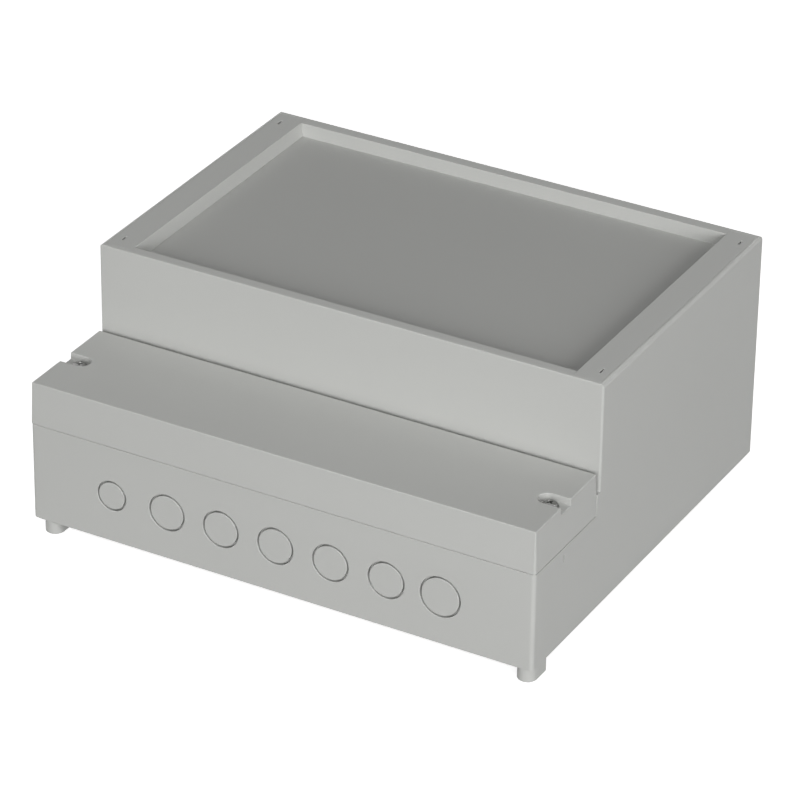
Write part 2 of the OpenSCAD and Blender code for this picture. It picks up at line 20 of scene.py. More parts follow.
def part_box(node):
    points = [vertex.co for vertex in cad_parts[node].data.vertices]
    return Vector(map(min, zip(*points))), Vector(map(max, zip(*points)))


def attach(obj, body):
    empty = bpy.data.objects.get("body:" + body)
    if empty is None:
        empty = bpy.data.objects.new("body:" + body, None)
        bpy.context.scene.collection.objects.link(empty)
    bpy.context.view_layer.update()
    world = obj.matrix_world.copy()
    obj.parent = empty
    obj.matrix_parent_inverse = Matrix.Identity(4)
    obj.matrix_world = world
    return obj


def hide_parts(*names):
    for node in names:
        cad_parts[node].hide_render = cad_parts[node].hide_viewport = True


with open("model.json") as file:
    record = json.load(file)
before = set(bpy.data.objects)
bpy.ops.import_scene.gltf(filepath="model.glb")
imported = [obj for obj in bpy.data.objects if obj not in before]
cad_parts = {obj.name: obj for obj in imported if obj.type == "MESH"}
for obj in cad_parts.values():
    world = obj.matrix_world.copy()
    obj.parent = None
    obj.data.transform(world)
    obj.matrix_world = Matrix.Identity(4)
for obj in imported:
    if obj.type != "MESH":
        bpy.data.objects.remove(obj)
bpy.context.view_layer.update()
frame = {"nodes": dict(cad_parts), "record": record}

LOG = logging.getLogger("enclosure")
MM = 0.001

# Heights round the joint of housing and terminal cover, which the cover's inserts end flush with
JOINT_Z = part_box("cover_inserts")[1].z
SEAM = (JOINT_Z - 1.0 * MM, JOINT_Z + 1.0 * MM)

# Distances below which two corners of a mesh are one
WELD = 0.002 * MM
FINE_WELD = 0.001 * MM

# Colours of the materials, in linear light
GREY = (0.491, 0.496, 0.480)
# Darker grey of the sunk keypad field: painted shade of the recess floor
SHADED_FIELD_GREY = (0.427, 0.431, 0.417)
ZINC = (0.26, 0.26, 0.254)
BRASS = (0.62, 0.43, 0.17)
BLACK_RUBBER = (0.030, 0.030, 0.032)
RAW_NYLON = (0.74, 0.73, 0.68)
WHITE = (1.0, 1.0, 1.0, 1.0)


class Body(Enum):
    """Bodies of the part that new pieces ride on."""

    BASE = "base"
    COVER = "cover"
    LEFT_SCREW = "left_screw"
    RIGHT_SCREW = "right_screw"
    LEFT_BAND = "left_band"
    RIGHT_BAND = "right_band"


class Slot(Enum):
    """Material slots of the record."""

    SHELL = "shell"
    STRIP = "strip"
    SCREW = "screw"
    INSERT = "insert"
    SEAL = "seal"
    NYLON = "nylon"


class Closing(Enum):
    """How a turned profile ends."""

    SOLID = "solid"
    RING = "ring"


class Joining(Enum):
    """How one closed shape works on another."""

    CUT = "DIFFERENCE"
    FUSE = "UNION"


class MixSocket(Enum):
    """Numbers of the sockets of a Mix node that mixes colours."""

    FACTOR = 0
    FIRST = 6
    SECOND = 7
    RESULT = 2


class Graph:
    """A node tree with short calls for adding and joining nodes."""

    def __init__(self, tree: bpy.types.NodeTree) -> None:
        """Keeps the tree.

        Args:
            tree: The node tree of a material, a world or a group.
        """
        self.tree = tree

    def add(self, kind: str, sockets: dict | None = None, **settings: object) -> bpy.types.Node:
        """Adds a node.

        Args:
            kind: Blender's node type without its ShaderNode prefix.
            sockets: Input values or output sockets to join, by input name or number.
            settings: Properties of the node itself.

        Returns:
            The new node.
        """
        node = self.tree.nodes.new("ShaderNode" + kind)
        for name, value in settings.items():
            setattr(node, name, value)
        for key, value in (sockets or {}).items():
            if isinstance(value, bpy.types.NodeSocket):
                self.tree.links.new(value, node.inputs[key])
            else:
                node.inputs[key].default_value = value
        return node

    def math(self, operation: str, first: object, second: object = 0.0) -> bpy.types.NodeSocket:
        """Joins two values by one operation.

        Args:
            operation: Name of the operation.
            first: First value or socket.
            second: Second value or socket.

        Returns:
            The result's socket.
        """
        return self.add("Math", {0: first, 1: second}, operation=operation).outputs[0]

    def shared(self, first: bpy.types.NodeSocket, second: bpy.types.NodeSocket,
               share: float) -> bpy.types.NodeSocket:
        """Adds two values, the first with its share and the second with the rest.

        Args:
            first: First socket.
            second: Second socket.
            share: Share of the first, from 0 to 1.

        Returns:
            The result's socket.
        """
        return self.math("ADD", self.math("MULTIPLY", first, share),
                         self.math("MULTIPLY", second, 1.0 - share))

    def link(self, given: bpy.types.NodeSocket, taken: bpy.types.NodeSocket) -> None:
        """Joins an output socket to an input socket."""
        self.tree.links.new(given, taken)


class SharedEffect:
    """A node group that several finishes use, built once."""

    name: str = ""
    takes: tuple[tuple[str, str, object], ...] = ()
    gives: tuple[tuple[str, str], ...] = ()

    @classmethod
    def tree(cls) -> bpy.types.NodeTree:
        """Finds the group's tree, and builds it the first time.

        Returns:
            The tree.
        """
        found = bpy.data.node_groups.get(cls.name)
        if found:
            return found
        tree = bpy.data.node_groups.new(cls.name, "ShaderNodeTree")
        for label, kind, value in cls.takes:
            socket = tree.interface.new_socket(label, in_out="INPUT", socket_type="NodeSocket" + kind)
            if value is not None:
                socket.default_value = value
        for label, kind in cls.gives:
            tree.interface.new_socket(label, in_out="OUTPUT", socket_type="NodeSocket" + kind)
        start = tree.nodes.new("NodeGroupInput")
        end = tree.nodes.new("NodeGroupOutput")
        cls.wire(Graph(tree), start.outputs, end.inputs)
        return tree

    @classmethod
    def wire(cls, graph: Graph, start: bpy.types.NodeOutputs, end: bpy.types.NodeInputs) -> None:
        """Fills the group.

        Args:
            graph: The group's tree.
            start: Sockets that come in.
            end: Sockets that go out.
        """
        raise NotImplementedError

    @classmethod
    def place(cls, graph: Graph, sockets: dict) -> bpy.types.Node:
        """Puts the group into a material.

        Args:
            graph: The material's tree.
            sockets: Values or sockets for the group's inputs.

        Returns:
            The group's node.
        """
        return graph.add("Group", sockets, node_tree=cls.tree())


class MouldGrain(SharedEffect):
    """Fine spark-eroded grain of a moulding tool."""

    name = "mould_grain"
    takes = (("Place", "Vector", None), ("Scale", "Float", 2600.0))
    gives = (("Height", "Float"), ("Fleck", "Float"))
    detail: float = 3.0
    softness: float = 0.6
    pit_scale: float = 1.7
    bump_share: float = 0.65

    @classmethod
    def wire(cls, graph: Graph, start: bpy.types.NodeOutputs, end: bpy.types.NodeInputs) -> None:
        """Mixes soft bumps and smaller pits.

        Args:
            graph: The group's tree.
            start: Sockets that come in.
            end: Sockets that go out.
        """
        bumps = graph.add("TexNoise", {"Vector": start["Place"], "Scale": start["Scale"],
                                       "Detail": cls.detail, "Roughness": cls.softness}).outputs["Fac"]
        finer = graph.math("MULTIPLY", start["Scale"], cls.pit_scale)
        sockets = {"Vector": start["Place"], "Scale": finer, "Smoothness": cls.softness}
        pits = graph.add("TexVoronoi", sockets, feature="SMOOTH_F1").outputs["Distance"]
        graph.link(graph.shared(bumps, pits, cls.bump_share), end["Height"])
        graph.link(bumps, end["Fleck"])


class ToneDrift(SharedEffect):
    """Slow drift of a piece's colour, as flow, cooling or plating leave it."""

    name = "tone_drift"
    takes = (
        ("Place", "Vector", None),
        ("Colour", "Color", (0.5, 0.5, 0.5, 1.0)),
        ("Amount", "Float", 0.02),
    )
    gives = (("Colour", "Color"),)
    broad_scale: float = 11.0
    broad_detail: float = 1.0
    broad_share: float = 0.7
    small_scale: float = 70.0
    small_detail: float = 2.0

    @classmethod
    def wire(cls, graph: Graph, start: bpy.types.NodeOutputs, end: bpy.types.NodeInputs) -> None:
        """Scales the colour by two sizes of soft patches.

        Args:
            graph: The group's tree.
            start: Sockets that come in.
            end: Sockets that go out.
        """
        broad = graph.add("TexNoise", {"Vector": start["Place"], "Scale": cls.broad_scale,
                                       "Detail": cls.broad_detail})
        small = graph.add("TexNoise", {"Vector": start["Place"], "Scale": cls.small_scale,
                                       "Detail": cls.small_detail})
        both = graph.shared(broad.outputs["Fac"], small.outputs["Fac"], cls.broad_share)
        drift = graph.math("MULTIPLY", graph.math("SUBTRACT", both, 0.5), 2.0)
        factor = graph.math("ADD", graph.math("MULTIPLY", drift, start["Amount"]), 1.0)
        scaled = graph.add("VectorMath", {0: start["Colour"], "Scale": factor}, operation="SCALE")
        graph.link(scaled.outputs["Vector"], end["Colour"])


class TurningMarks(SharedEffect):
    """Fine rings that a lathe or a plating drum leaves on small metal pieces."""

    name = "turning_marks"
    takes = (("Place", "Vector", None), ("Scale", "Float", 1500.0))
    gives = (("Height", "Float"), ("Shade", "Float"))
    wander: float = 1.5
    ring_detail: float = 2.0
    ring_share: float = 0.5
    cloud_scale: float = 900.0
    cloud_detail: float = 4.0

    @classmethod
    def wire(cls, graph: Graph, start: bpy.types.NodeOutputs, end: bpy.types.NodeInputs) -> None:
        """Mixes rings about the piece's axis with a fine cloud.

        Args:
            graph: The group's tree.
            start: Sockets that come in.
            end: Sockets that go out.
        """
        rings = graph.add("TexWave", {"Vector": start["Place"], "Scale": start["Scale"],
                                      "Distortion": cls.wander, "Detail": cls.ring_detail},
                          wave_type="RINGS", rings_direction="Z").outputs["Fac"]
        cloud = graph.add("TexNoise", {"Vector": start["Place"], "Scale": cls.cloud_scale,
                                       "Detail": cls.cloud_detail}).outputs["Fac"]
        graph.link(graph.shared(rings, cloud, cls.ring_share), end["Height"])
        graph.link(cloud, end["Shade"])


@dataclass(frozen=True)
class Finish:
    """What every finish has: a drifting colour, a spread of roughness and a fine relief in metres."""

    name: str
    colour: tuple[float, float, float]
    roughness: float
    drift: float = 0.05
    spread: float = 0.16
    bump: float = 0.3
    relief: float = 0.03 * MM

    def open(self) -> tuple[bpy.types.Material, Graph, bpy.types.Node, bpy.types.NodeSocket]:
        """Starts the material.

        Returns:
            The material, its graph, its Principled BSDF and its Object coordinates.
        """
        made = bpy.data.materials.new(self.name)
        made.use_nodes = True
        graph = Graph(made.node_tree)
        shader = made.node_tree.nodes["Principled BSDF"]
        place = graph.add("TexCoord").outputs["Object"]
        return made, graph, shader, place

    def tone(self, graph: Graph, place: bpy.types.NodeSocket) -> bpy.types.NodeSocket:
        """Lets the colour drift over the surface.

        Args:
            graph: The material's tree.
            place: Coordinates of the pattern.

        Returns:
            The colour's socket.
        """
        sockets = {"Place": place, "Colour": (*self.colour, 1.0), "Amount": self.drift}
        return ToneDrift.place(graph, sockets).outputs["Colour"]

    def lay(self, graph: Graph, shader: bpy.types.Node, colour: bpy.types.NodeSocket,
            mask: bpy.types.NodeSocket, height: dict) -> None:
        """Joins colour, roughness and relief to the shader.

        Args:
            graph: The material's tree.
            shader: Its Principled BSDF.
            colour: Socket of the colour.
            mask: Value from 0 to 1 that spreads the roughness about its middle.
            height: The Bump node's Height socket and, where edges are soft, its Normal, by name.
        """
        low, high = self.roughness - self.spread / 2, self.roughness + self.spread / 2
        rough = graph.add("MapRange", {"Value": mask, "To Min": low, "To Max": high})
        bump = graph.add("Bump", {"Strength": self.bump, "Distance": self.relief, **height})
        graph.link(colour, shader.inputs["Base Color"])
        graph.link(rough.outputs["Result"], shader.inputs["Roughness"])
        graph.link(bump.outputs["Normal"], shader.inputs["Normal"])


@dataclass(frozen=True)
class MouldedPlastic(Finish):
    """Light grey plastic from a grained tool, with its sharp edges softened and a painted highlight that
    lightens them a little.
    """

    drift: float = 0.018
    bump: float = 0.35
    relief: float = 0.02 * MM
    gloss: float = 0.2
    ior: float = 1.5
    grain_scale: float = 2600.0
    edge_radius: float = 0.35 * MM
    edge_samples: int = 8
    # Where the painted edge highlight starts and where it is full, and how much white it mixes in
    edge_start: float = 0.98
    edge_full: float = 0.75
    edge_highlight_lift: float = 0.05

    def build(self) -> bpy.types.Material:
        """Makes the material.

        Returns:
            The material.
        """
        made, graph, shader, place = self.open()
        grain = MouldGrain.place(graph, {"Place": place, "Scale": self.grain_scale})
        soft = graph.add("Bevel", {"Radius": self.edge_radius}, samples=self.edge_samples).outputs["Normal"]
        colour = self.paint_edge_highlight(graph, self.tone(graph, place), soft)
        self.lay(graph, shader, colour, grain.outputs["Fleck"],
                 {"Height": grain.outputs["Height"], "Normal": soft})
        shader.inputs["IOR"].default_value = self.ior
        shader.inputs["Specular IOR Level"].default_value = self.gloss
        return made

    def paint_edge_highlight(self, graph: Graph, colour: bpy.types.NodeSocket,
              soft: bpy.types.NodeSocket) -> bpy.types.NodeSocket:
        """Paints a highlight along edges, by making a colour lighter there.

        Args:
            graph: The material's tree.
            colour: Socket of the colour.
            soft: Normal that turns over within the edge's radius.

        Returns:
            The socket of the colour with the painted edge highlight.
        """
        true = graph.add("NewGeometry").outputs["True Normal"]
        meet = graph.add("VectorMath", {0: soft, 1: true}, operation="DOT_PRODUCT").outputs["Value"]
        limits = {"From Min": self.edge_start, "From Max": self.edge_full, "To Max": self.edge_highlight_lift}
        # Painted highlight: the colour is mixed towards white where the softened normal turns away from the
        # face, along edges
        edge = graph.add("MapRange", {"Value": meet, **limits})
        sockets = {MixSocket.FACTOR.value: edge.outputs["Result"], MixSocket.FIRST.value: colour,
                   MixSocket.SECOND.value: WHITE}
        return graph.add("Mix", sockets, data_type="RGBA").outputs[MixSocket.RESULT.value]


@dataclass(frozen=True)
class PlatedMetal(Finish):
    """Small turned metal with a plated or bare surface, rings centred on its own axis."""

    drift: float = 0.12
    spread: float = 0.2
    bump: float = 0.25
    centre: tuple[float, float] = (0.0, 0.0)
    ring_scale: float = 1500.0

    def build(self) -> bpy.types.Material:
        """Makes the material.

        Returns:
            The material.
        """
        made, graph, shader, place = self.open()
        shift = (-self.centre[0], -self.centre[1], 0.0)
        moved = graph.add("Mapping", {"Vector": place, "Location": shift}).outputs["Vector"]
        marks = TurningMarks.place(graph, {"Place": moved, "Scale": self.ring_scale})
        self.lay(graph, shader, self.tone(graph, moved), marks.outputs["Shade"],
                 {"Height": marks.outputs["Height"]})
        shader.inputs["Metallic"].default_value = 1.0
        return made


@dataclass(frozen=True)
class FoamedRubber(Finish):
    """Dark rubber cord with fine pores."""

    drift: float = 0.25
    spread: float = 0.14
    bump: float = 0.6
    relief: float = 0.08 * MM
    pore_scale: float = 1900.0

    def build(self) -> bpy.types.Material:
        """Makes the material.

        Returns:
            The material.
        """
        made, graph, shader, place = self.open()
        grain = MouldGrain.place(graph, {"Place": place, "Scale": self.pore_scale})
        self.lay(graph, shader, self.tone(graph, place), grain.outputs["Fleck"],
                 {"Height": grain.outputs["Height"]})
        return made


@dataclass(frozen=True)
class Nylon(Finish):
    """Natural nylon, slightly see-through."""

    spread: float = 0.12
    bump: float = 0.2
    grain_scale: float = 1400.0
    clearness: float = 0.2
    clear_depth: float = 1.0 * MM

    def build(self) -> bpy.types.Material:
        """Makes the material.

        Returns:
            The material.
        """
        made, graph, shader, place = self.open()
        grain = MouldGrain.place(graph, {"Place": place, "Scale": self.grain_scale})
        self.lay(graph, shader, self.tone(graph, place), grain.outputs["Fleck"],
                 {"Height": grain.outputs["Height"]})
        shader.inputs["Subsurface Weight"].default_value = self.clearness
        shader.inputs["Subsurface Scale"].default_value = self.clear_depth
        return made


class MeshShop:
    """Shapes pieces with Blender's own mesh operators."""

    @staticmethod
    def clear() -> None:
        """Leaves edit mode and deselects everything."""
        if bpy.context.object and bpy.context.object.mode != "OBJECT":
            bpy.ops.object.mode_set(mode="OBJECT")
        bpy.ops.object.select_all(action="DESELECT")

    @staticmethod
    def hold(piece: bpy.types.Object) -> None:
        """Makes a piece the only selected and active one.

        Args:
            piece: The piece.
        """
        MeshShop.clear()
        piece.select_set(True)
        bpy.context.view_layer.objects.active = piece

    @staticmethod
    def pick_faces(piece: bpy.types.Object, wanted: Callable[[bpy.types.MeshPolygon], bool]) -> None:
        """Selects faces in edit mode by a test.

        Args:
            piece: The piece, in edit mode.
            wanted: Test that gets each face.
        """
        bpy.ops.mesh.select_mode(type="FACE")
        bpy.ops.mesh.select_all(action="DESELECT")
        bpy.ops.object.mode_set(mode="OBJECT")
        for face in piece.data.polygons:
            face.select = wanted(face)
        bpy.ops.object.mode_set(mode="EDIT")

    @staticmethod
    def pick_edges(piece: bpy.types.Object, wanted: Callable[[Vector, Vector], bool]) -> None:
        """Selects edges in edit mode by the places of their two ends.

        Args:
            piece: The piece, in edit mode.
            wanted: Test that gets both ends.
        """
        bpy.ops.mesh.select_mode(type="EDGE")
        bpy.ops.mesh.select_all(action="DESELECT")
        bpy.ops.object.mode_set(mode="OBJECT")
        points = piece.data.vertices
        for edge in piece.data.edges:
            edge.select = wanted(points[edge.vertices[0]].co, points[edge.vertices[1]].co)
        bpy.ops.object.mode_set(mode="EDIT")

    @staticmethod
    def close_up(piece: bpy.types.Object, slack: float, open_sides: int = 0) -> None:
        """Merges doubled corners, fills small holes and turns all faces outwards.

        Args:
            piece: The piece.
            slack: Distance below which two corners are one.
            open_sides: Most sides of a hole that is filled, or 0 for no filling.
        """
        MeshShop.hold(piece)
        bpy.ops.object.mode_set(mode="EDIT")
        bpy.ops.mesh.select_all(action="SELECT")
        bpy.ops.mesh.remove_doubles(threshold=slack)
        if open_sides:
            bpy.ops.mesh.fill_holes(sides=open_sides)
        bpy.ops.mesh.normals_make_consistent(inside=False)
        bpy.ops.object.mode_set(mode="OBJECT")

    @staticmethod
    def turned(name: str, profile: Sequence[tuple[float, float]], closing: Closing,
               segments: int = 48) -> bpy.types.Object:
        """Turns a profile about the Z axis, ring by ring.

        Args:
            name: Name of the piece.
            profile: Radius and height of each ring, in metres.
            closing: Solid ends, or a ring whose last station meets the first.
            segments: Number of sides.

        Returns:
            The piece, about the origin.
        """
        MeshShop.clear()
        radius, height = profile[0]
        fill = "NGON" if closing is Closing.SOLID else "NOTHING"
        bpy.ops.mesh.primitive_circle_add(vertices=segments, radius=radius, fill_type=fill,
                                          location=(0, 0, height))
        piece = bpy.context.object
        piece.name = piece.data.name = name
        bpy.ops.object.transform_apply(location=True, rotation=True, scale=True)
        bpy.ops.object.mode_set(mode="EDIT")
        bpy.ops.mesh.select_all(action="SELECT")
        stations = list(profile[1:]) + ([profile[0]] if closing is Closing.RING else [])
        for next_radius, next_height in stations:
            shift = {"value": (0.0, 0.0, next_height - height)}
            if closing is Closing.SOLID:
                bpy.ops.mesh.extrude_region_move(TRANSFORM_OT_translate=shift)
            else:
                bpy.ops.mesh.extrude_edges_move(TRANSFORM_OT_translate=shift)
            scale = next_radius / radius
            bpy.ops.transform.resize(value=(scale, scale, 1.0), center_override=(0.0, 0.0, next_height))
            radius, height = next_radius, next_height
        MeshShop.close_up(piece, WELD)
        return piece

    @staticmethod
    def combine(piece: bpy.types.Object, tool: bpy.types.Object, joining: Joining) -> None:
        """Cuts a tool's shape out of a piece or fuses it on, and removes the tool.

        Args:
            piece: The piece that is worked on.
            tool: The closed shape that is taken away or added.
            joining: Which of the two.
        """
        MeshShop.hold(piece)
        bpy.ops.object.modifier_add(type="BOOLEAN")
        work = piece.modifiers[-1]
        work.operation = joining.value
        work.solver = "EXACT"
        work.object = tool
        bpy.ops.object.modifier_apply(modifier=work.name)
        bpy.data.objects.remove(tool)

    @staticmethod
    def copied(piece: bpy.types.Object, name: str) -> bpy.types.Object:
        """Copies a piece with a mesh of its own.

        Args:
            piece: The piece to copy.
            name: Name of the copy.

        Returns:
            The copy.
        """
        MeshShop.hold(piece)
        bpy.ops.object.duplicate(linked=False)
        copy = bpy.context.object
        copy.name = copy.data.name = name
        return copy

    @staticmethod
    def joined(pieces: Sequence[bpy.types.Object], name: str) -> bpy.types.Object:
        """Joins pieces into the first one.

        Args:
            pieces: The pieces.
            name: Name of the result.

        Returns:
            The joined piece.
        """
        MeshShop.clear()
        for piece in pieces:
            piece.select_set(True)
        bpy.context.view_layer.objects.active = pieces[0]
        bpy.ops.object.join()
        made = bpy.context.object
        made.name = made.data.name = name
        return made

    @staticmethod
    def merged_copy(solid: bpy.types.Object, name: str) -> bpy.types.Object:
        """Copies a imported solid, with its loose triangles merged into whole flat faces.

        Args:
            solid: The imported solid.
            name: Name of the copy.

        Returns:
            The copy, where the solid is.
        """
        copy = bpy.data.objects.new(name, solid.data.copy())
        copy.data.name = name
        bpy.context.scene.collection.objects.link(copy)
        MeshShop.hold(copy)
        bpy.ops.mesh.customdata_custom_splitnormals_clear()
        MeshShop.settle(copy)
        return copy

    @staticmethod
    def settle(piece: bpy.types.Object, slack: float = WELD, flat_deg: float = 0.5) -> None:
        """Merges doubled corners, drops slivers and makes flat faces whole.

        Args:
            piece: The piece.
            slack: Distance below which two corners are one.
            flat_deg: Largest turn between two faces that counts as flat.
        """
        MeshShop.hold(piece)
        bpy.ops.object.mode_set(mode="EDIT")
        bpy.ops.mesh.select_all(action="SELECT")
        bpy.ops.mesh.remove_doubles(threshold=slack)
        bpy.ops.mesh.dissolve_degenerate(threshold=slack)
        bpy.ops.mesh.dissolve_limited(angle_limit=math.radians(flat_deg))
        bpy.ops.object.mode_set(mode="OBJECT")

    @staticmethod
    def runs_free(edge: bmesh.types.BMEdge, least_deg: float = 30.0) -> bool:
        """Says whether no edge at either end runs back closely beside an edge.

        Args:
            edge: The edge.
            least_deg: Smallest angle to a neighbour in one of its two faces.

        Returns:
            True if a chamfer along the edge can end cleanly.
        """
        for point in edge.verts:
            along = edge.other_vert(point).co - point.co
            for other in point.link_edges:
                beside = other is not edge and any(face in other.link_faces for face in edge.link_faces)
                if beside and along.angle(other.other_vert(point).co - point.co) < math.radians(least_deg):
                    return False
        return True

    @staticmethod
    def ease(piece: bpy.types.Object, width: float, crisp: tuple[float, float],
             sharp_deg: float = 80.0) -> None:
        """Cuts a fine chamfer along the sharp outward edges of a piece.

        Args:
            piece: The piece.
            width: Width that is taken off each face.
            crisp: Two heights between which edges stay as they are.
            sharp_deg: Smallest turn between two faces that counts as sharp.
        """
        MeshShop.hold(piece)
        bpy.ops.object.mode_set(mode="EDIT")
        bpy.ops.mesh.select_mode(type="EDGE")
        bpy.ops.mesh.select_all(action="DESELECT")
        bpy.ops.mesh.edges_select_sharp(sharpness=math.radians(sharp_deg))
        shape = bmesh.from_edit_mesh(piece.data)
        for edge in shape.edges:
            kept = all(crisp[0] < point.co.z < crisp[1] for point in edge.verts)
            if edge.select and (kept or not (edge.is_convex and MeshShop.runs_free(edge))):
                edge.select_set(False)
        bmesh.update_edit_mesh(piece.data)
        bpy.ops.mesh.bevel(offset=width, segments=1, affect="EDGES", clamp_overlap=False)
        bpy.ops.object.mode_set(mode="OBJECT")

    @staticmethod
    def hugs(piece: bpy.types.Object, solid: bpy.types.Object, slack: float) -> bool:
        """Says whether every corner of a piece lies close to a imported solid's surface.

        Args:
            piece: The piece.
            solid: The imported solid.
            slack: Largest distance.

        Returns:
            True if none lies further off.
        """
        faces = [face.vertices[:] for face in solid.data.polygons]
        surface = BVHTree.FromPolygons([point.co for point in solid.data.vertices], faces)
        return all(surface.find_nearest(point.co)[3] < slack for point in piece.data.vertices)

    @staticmethod
    def set_down(piece: bpy.types.Object, place: Vector, smooth_deg: float = 35.0) -> None:
        """Puts a piece at its place, with the place in its mesh, and smooths it.

        Args:
            piece: The piece, about the origin.
            place: Where its origin goes.
            smooth_deg: Largest angle between faces that shades smooth.
        """
        MeshShop.hold(piece)
        piece.location = place
        bpy.ops.object.transform_apply(location=True, rotation=True, scale=True)
        bpy.ops.object.shade_smooth_by_angle(angle=math.radians(smooth_deg))


def dress(piece: bpy.types.Object, material: bpy.types.Material) -> None:
    """Gives a piece one material all over.

    Args:
        piece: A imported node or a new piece.
        material: The material.
    """
    piece.data.materials.clear()
    piece.data.materials.append(material)


def enlist(piece: bpy.types.Object, body: Body, slot: Slot, *nodes: str) -> None:
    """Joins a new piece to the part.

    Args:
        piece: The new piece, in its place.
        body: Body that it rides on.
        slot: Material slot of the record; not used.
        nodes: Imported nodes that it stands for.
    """
    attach(piece, body.value)
    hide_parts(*nodes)
    LOG.info("%s rides on %s, %d faces", piece.name, body.value, len(piece.data.polygons))


@dataclass
class CrossScrew:
    """A screw with a domed head, a tapered cross recess and a helical thread. Lengths in metres."""

    head_d: float
    head_h: float
    length: float
    neck_d: float
    neck_len: float
    thread_d: float
    pitch: float = 0.7 * MM
    thread_depth: float = 0.34 * MM
    thread_root: float = 1.25
    thread_flank: float = 0.46
    turn_steps: int = 24
    cross_span: float = 4.3 * MM
    cross_w: float = 0.95 * MM
    cross_depth: float = 1.55 * MM
    cross_taper: float = 0.42
    dome: float = 0.9 * MM
    dome_steps: int = 8
    tip: float = 0.9 * MM
    tip_shares: tuple[float, float] = (0.35, 0.9)
    runout: float = 0.3 * MM
    rim_ease: float = 0.12 * MM

    def body(self, name: str) -> bpy.types.Object:
        """Turns the head, neck and core as one solid.

        Args:
            name: Name of the piece.

        Returns:
            The solid, with the head's underside at the origin.
        """
        head_r, neck_r = self.head_d / 2, self.neck_d / 2
        core_r, ease = self.thread_d / 2 - self.thread_depth, self.rim_ease
        rim = self.head_h - self.dome
        point, lead = self.tip_shares
        profile = [(core_r * point, -self.length), (core_r * lead, self.tip - self.length),
                   (core_r, 2 * self.tip - self.length), (core_r, -self.neck_len - self.runout),
                   (neck_r, -self.neck_len), (neck_r, -ease), (neck_r + ease, 0.0),
                   (head_r - ease, 0.0), (head_r, ease), (head_r, rim - ease)]
        ball_r = (head_r ** 2 + self.dome ** 2) / (2 * self.dome)
        widest = math.asin((head_r - ease) / ball_r)
        for step in range(self.dome_steps):
            turn = widest * (1 - step / self.dome_steps)
            profile.append((ball_r * math.sin(turn), self.head_h - ball_r * (1 - math.cos(turn))))
        return MeshShop.turned(name, profile, Closing.SOLID)

    def arm(self, turn: float) -> bpy.types.Object:
        """Models a tool that cuts one slot of the cross, narrower at its bottom.

        Args:
            turn: Turn of the slot about the axis, in radians.

        Returns:
            The tool, half above and half below the top of the head.
        """
        MeshShop.clear()
        bpy.ops.mesh.primitive_cube_add(size=1.0, location=(0, 0, 0))
        tool = bpy.context.object
        tool.scale = (self.cross_span, self.cross_w, self.cross_depth * 2)
        tool.rotation_euler = (0.0, 0.0, turn)
        bpy.ops.object.transform_apply(location=True, rotation=True, scale=True)
        bpy.ops.object.mode_set(mode="EDIT")
        MeshShop.pick_faces(tool, lambda face: face.center.z < -self.cross_depth / 2)
        bpy.ops.transform.resize(value=(self.cross_taper, self.cross_taper, 1.0),
                                 center_override=(0.0, 0.0, -self.cross_depth))
        bpy.ops.object.mode_set(mode="OBJECT")
        tool.location.z = self.head_h
        bpy.ops.object.transform_apply(location=True, rotation=True, scale=True)
        return tool

    def thread(self, name: str) -> bpy.types.Object:
        """Sweeps the helical ridge of the thread.

        Args:
            name: Name of the ridge.

        Returns:
            The ridge, closed at both ends and rooted inside the core.
        """
        MeshShop.clear()
        low = 2 * self.tip + self.pitch / 2 - self.length
        run = -self.neck_len - self.runout - self.pitch / 2 - low
        bpy.ops.mesh.primitive_circle_add(vertices=3, radius=1.0, fill_type="NOTHING")
        ridge = bpy.context.object
        ridge.name = name
        crest = self.thread_d / 2
        root, flank = crest - self.thread_depth * self.thread_root, self.pitch * self.thread_flank
        places = ((crest, low), (root, low + flank), (root, low - flank))
        for point, (radius, height) in zip(ridge.data.vertices, places):
            point.co = (radius, 0.0, height)
        bpy.ops.object.modifier_add(type="SCREW")
        sweep = ridge.modifiers[-1]
        sweep.axis = "Z"
        sweep.angle = math.tau
        sweep.screw_offset = self.pitch
        sweep.iterations = max(1, int(run / self.pitch))
        sweep.steps = sweep.render_steps = self.turn_steps
        sweep.use_merge_vertices = False
        bpy.ops.object.modifier_apply(modifier=sweep.name)
        MeshShop.close_up(ridge, FINE_WELD, open_sides=len(places))
        return ridge

    def build(self, name: str, turn_deg: float = 0.0) -> bpy.types.Object:
        """Models the screw about the origin.

        Args:
            name: Name of the piece.
            turn_deg: Turn of the cross about the axis.

        Returns:
            The screw, with its head's underside at the origin.
        """
        shank = self.body(name)
        for turn in (0.0, math.pi / 2):
            MeshShop.combine(shank, self.arm(turn), Joining.CUT)
        MeshShop.combine(shank, self.thread(name + "_thread"), Joining.FUSE)
        MeshShop.settle(shank)
        shank.rotation_euler = (0.0, 0.0, math.radians(turn_deg))
        return shank


